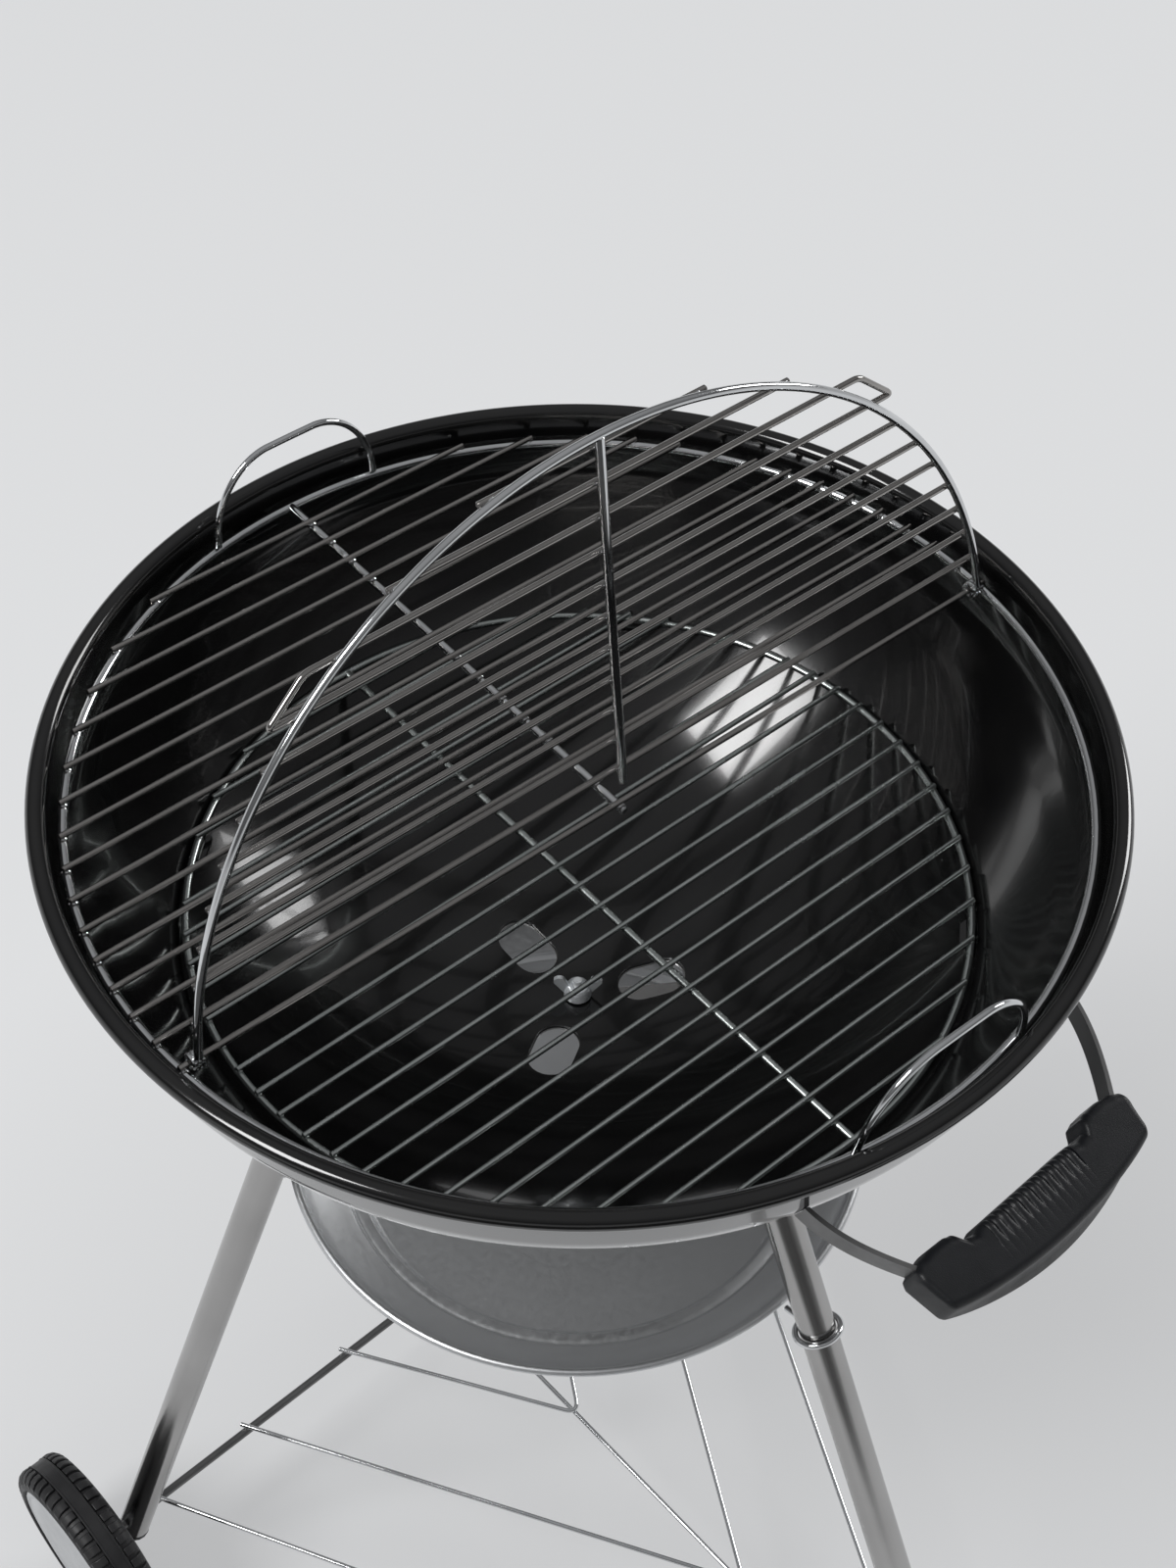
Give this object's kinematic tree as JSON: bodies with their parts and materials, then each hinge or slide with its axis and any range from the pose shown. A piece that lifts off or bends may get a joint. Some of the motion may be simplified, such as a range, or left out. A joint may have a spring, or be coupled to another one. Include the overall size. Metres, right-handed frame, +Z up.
{
  "type": "kettle charcoal grill",
  "caption": "Round kettle charcoal grill on a three-leg stand, lid off, with a hinged cooking grate, charcoal grate, vents, ash pan, side handle, wheels and wire rack.",
  "frame": {"origin": "centre of the whole object's footprint box, on the floor", "axes": "+Z up; wheel axle along X; front leg and side handle towards -Y"},
  "size_m": [0.6938, 0.7302, 1.0199],
  "materials": {
    "enamel": "glossy black fired enamel",
    "plated_wire": "bright nickel-chrome plated wire",
    "zinc_wire": "grey zinc-plated steel",
    "pan_metal": "satin aluminised sheet",
    "leg_metal": "satin drawn tube and stamped sheet",
    "strip_metal": "dull plated steel strip and bar",
    "black_plastic": "fine-grained black moulding",
    "wheel_plastic": "black moulded wheel with worn tread",
    "hub_plastic": "light grey moulded disc"
  },
  "bodies": {
    "frame": {"bowl": "enamel", "grate_bracket_1": "enamel", "grate_bracket_2": "enamel", "grate_bracket_3": "enamel", "grate_bracket_4": "enamel", "charcoal_bracket_1": "enamel", "charcoal_bracket_2": "enamel", "charcoal_bracket_3": "enamel", "charcoal_bracket_4": "enamel", "leg_front": "leg_metal", "leg_left": "leg_metal", "leg_right": "leg_metal", "leg_socket_front": "enamel", "leg_socket_left": "enamel", "leg_socket_right": "enamel", "leg_foot_front": "black_plastic", "leg_plug_left": "black_plastic", "leg_plug_right": "black_plastic", "pan_clip_front": "plated_wire", "pan_clip_left": "plated_wire", "pan_clip_right": "plated_wire", "axle": "strip_metal", "axle_spacer_left": "strip_metal", "axle_spacer_right": "strip_metal", "rack_spine": "plated_wire", "rack_wire_inner": "plated_wire", "rack_wire_middle": "plated_wire", "rack_wire_outer": "plated_wire", "rack_nut": "zinc_wire", "handle_arm_left": "strip_metal", "handle_arm_right": "strip_metal", "handle_grip": "black_plastic", "damper_bolt": "zinc_wire"},
    "cooking_grate": {"cooking_grate": "plated_wire", "grate_lift_front": "plated_wire", "grate_lift_rear": "plated_wire"},
    "flap": {"cooking_grate_flap": "plated_wire"},
    "charcoal_grate": {"charcoal_grate": "zinc_wire"},
    "damper": {"damper_plate": "leg_metal", "damper_lever": "leg_metal"},
    "ash_pan": {"ash_pan": "pan_metal"},
    "wing_nut": {"wing_nut": "zinc_wire"},
    "wheel_left": {"wheel_left": "wheel_plastic", "hub_disc_left": "hub_plastic"},
    "wheel_right": {"wheel_right": "wheel_plastic", "hub_disc_right": "hub_plastic"}
  },
  "joints": [
    {"name": "grate_lift", "type": "slide", "parent": "frame", "child": "cooking_grate", "axis": [0, 0, 1], "range_m": [0, 0.3]},
    {"name": "flap_hinge", "type": "hinge", "parent": "cooking_grate", "child": "flap", "pos_m": [-0.00169, 0.04834, 0.79], "axis": [0.9986, -0.0523, 0], "range_deg": [0, 96.2]},
    {"name": "charcoal_lift", "type": "slide", "parent": "frame", "child": "charcoal_grate", "axis": [0, 0, 1], "range_m": [0, 0.3]},
    {"name": "damper_turn", "type": "hinge", "parent": "frame", "child": "damper", "pos_m": [0, 0.0805, 0.59], "axis": [0, 0, 1], "range_deg": [0, 60]},
    {"name": "ash_pan_drop", "type": "slide", "parent": "frame", "child": "ash_pan", "axis": [0, 0, -1], "range_m": [0, 0.12]},
    {"name": "wing_nut_turn", "type": "hinge", "parent": "frame", "child": "wing_nut", "pos_m": [0, 0.0805, 0.6], "axis": [0, 0, 1], "continuous": true},
    {"name": "wheel_left_roll", "type": "hinge", "parent": "frame", "child": "wheel_left", "pos_m": [-0.328, 0.2305, 0.0745], "axis": [1, 0, 0], "continuous": true},
    {"name": "wheel_right_roll", "type": "hinge", "parent": "frame", "child": "wheel_right", "pos_m": [0.328, 0.2305, 0.0745], "axis": [1, 0, 0], "continuous": true}
  ],
  "couplings": [
    {"joint": "charcoal_lift", "follows": "grate_lift", "ratio": 0.9}
  ]
}
